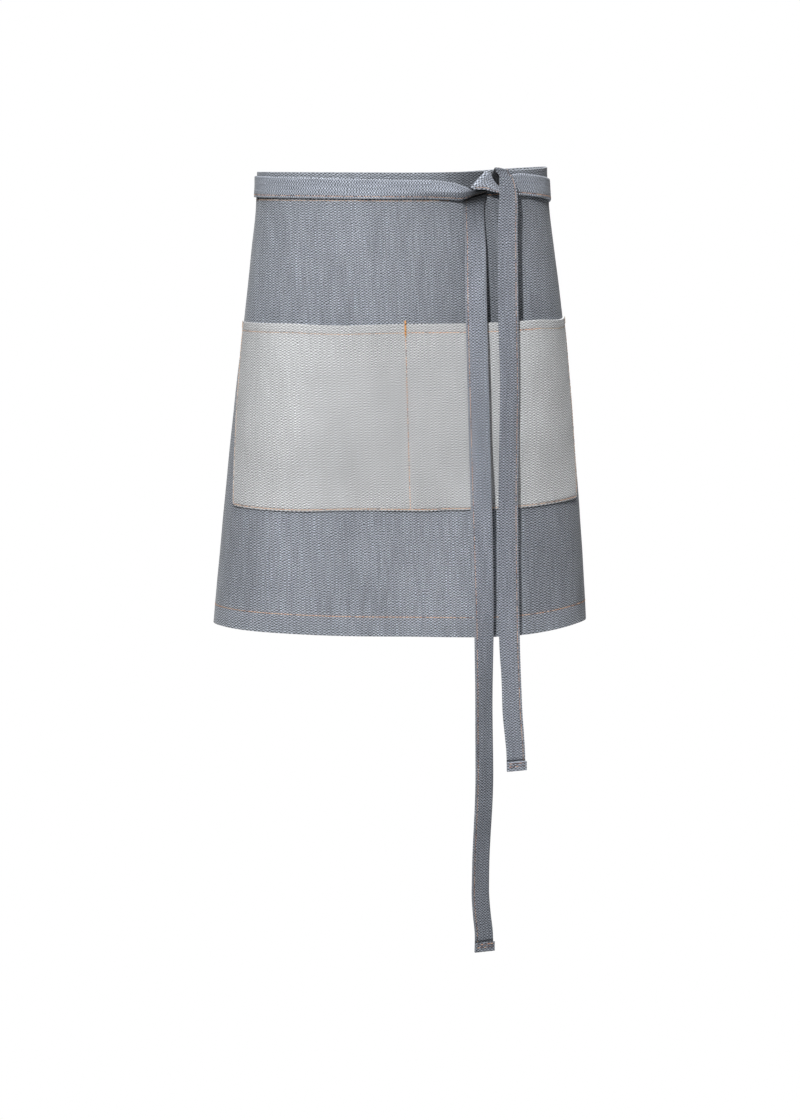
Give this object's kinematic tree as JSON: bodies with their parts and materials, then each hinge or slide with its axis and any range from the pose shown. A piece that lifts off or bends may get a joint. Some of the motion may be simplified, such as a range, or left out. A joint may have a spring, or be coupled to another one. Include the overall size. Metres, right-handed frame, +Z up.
{
  "type": "waist apron",
  "caption": "Waist apron of light denim in its worn form, with a divided patch pocket of reversed denim and long ties crossed behind and knotted in front.",
  "frame": {"origin": "centre of the wearer's waist at the height where the ties run", "axes": "+Z up, the apron's front faces -Y, +X is to the right as seen from the front"},
  "size_m": [0.3895, 0.2231, 0.8022],
  "materials": {
    "denim": "blue-grey twill with pale flecks and fine vertical slubs, matte",
    "denim_reverse": "pale reverse side of the same twill, matte",
    "tie_denim": "blue-grey twill folded lengthwise, matte",
    "thread": "tan sewing thread, slightly glossy"
  },
  "bodies": {
    "root": {"front_panel": "denim", "patch_pocket": "denim_reverse", "short_end_tie": "tie_denim", "long_end_tie": "tie_denim"}
  },
  "joints": []
}
